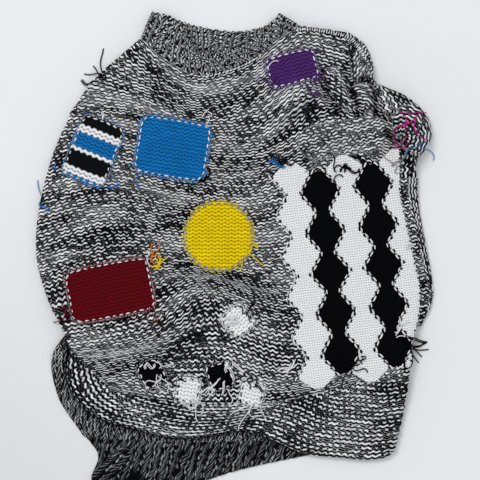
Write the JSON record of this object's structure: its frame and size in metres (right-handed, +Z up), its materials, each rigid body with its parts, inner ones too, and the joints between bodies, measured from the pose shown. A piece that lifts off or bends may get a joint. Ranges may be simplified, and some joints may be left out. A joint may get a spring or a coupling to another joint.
{
  "type": "darned wool sweater",
  "caption": "Chunky marl wool crew-neck sweater with knitted patches and running stitches, laid flat on a surface with its sleeves tucked behind it.",
  "frame": {"origin": "middle of the bounding box's base, on the surface that the sweater lies on", "axes": "+Z up from the surface, +Y from hem to collar, +X to the right of a viewer who looks down at the front"},
  "size_m": [0.5754, 0.696, 0.0414],
  "materials": {
    "marl_wool": "matt black and white twisted wool yarn, knitted",
    "cobalt_wool": "matt knitted wool",
    "yellow_wool": "matt knitted wool",
    "dark_red_wool": "matt knitted wool",
    "purple_wool": "matt knitted wool",
    "striped_wool": "matt knitted wool in stripes",
    "black_wool": "matt knitted wool",
    "white_wool": "matt knitted wool",
    "harlequin_wool": "matt knitted wool in black and white diamonds"
  },
  "bodies": {
    "root": {"back_panel": "marl_wool", "back_hem_band": "marl_wool", "front_panel": "marl_wool", "front_hem_band": "marl_wool", "collar_front": "marl_wool", "collar_back": "marl_wool", "sleeve_right_cap": "marl_wool", "sleeve_left_tucked": "marl_wool", "sleeve_right_tucked": "marl_wool", "cuff_left": "marl_wool", "cuff_right": "marl_wool", "patch_cobalt": "cobalt_wool", "patch_yellow": "yellow_wool", "patch_dark_red": "dark_red_wool", "patch_purple": "purple_wool", "patch_striped": "striped_wool", "patch_small_1": "black_wool", "patch_small_2": "white_wool", "patch_small_3": "black_wool", "patch_small_4": "white_wool", "patch_small_5": "white_wool", "patch_harlequin": "harlequin_wool"}
  },
  "joints": []
}
